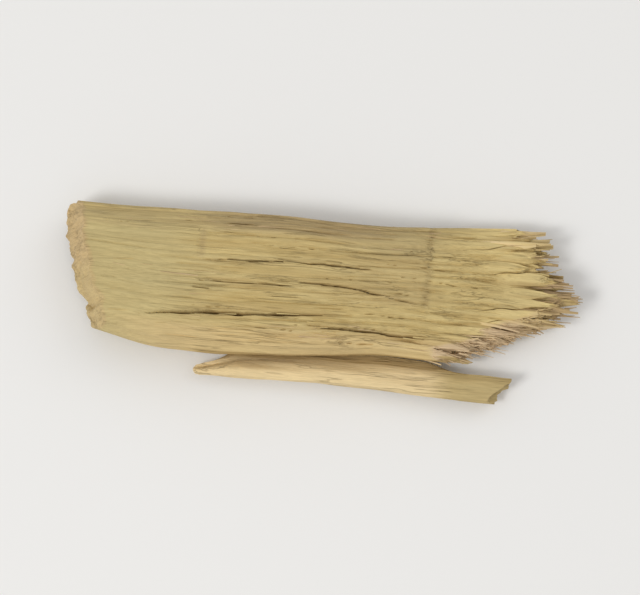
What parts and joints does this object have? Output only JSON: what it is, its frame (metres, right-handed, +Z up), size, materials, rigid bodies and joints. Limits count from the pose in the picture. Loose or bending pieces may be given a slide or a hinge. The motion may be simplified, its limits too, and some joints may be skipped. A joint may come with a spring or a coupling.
{
  "type": "quassia wood piece",
  "caption": "Flat split chip of pale bitter wood, sheared square at one end and torn to splinters at the other, with a thin sliver split off one edge.",
  "frame": {"origin": "centre of the small flat spot on the underside that the chip rests on, under its weight", "axes": "+X along the grain towards the torn end, +Y across the chip towards the bevelled edge, +Z up out of the broad top face"},
  "size_m": [0.0302, 0.0105, 0.0037],
  "materials": {
    "pale_wood": "dry split wood, matt, straw-coloured with brown cracks"
  },
  "bodies": {
    "root": {"wood_chip": "pale_wood"}
  },
  "joints": []
}
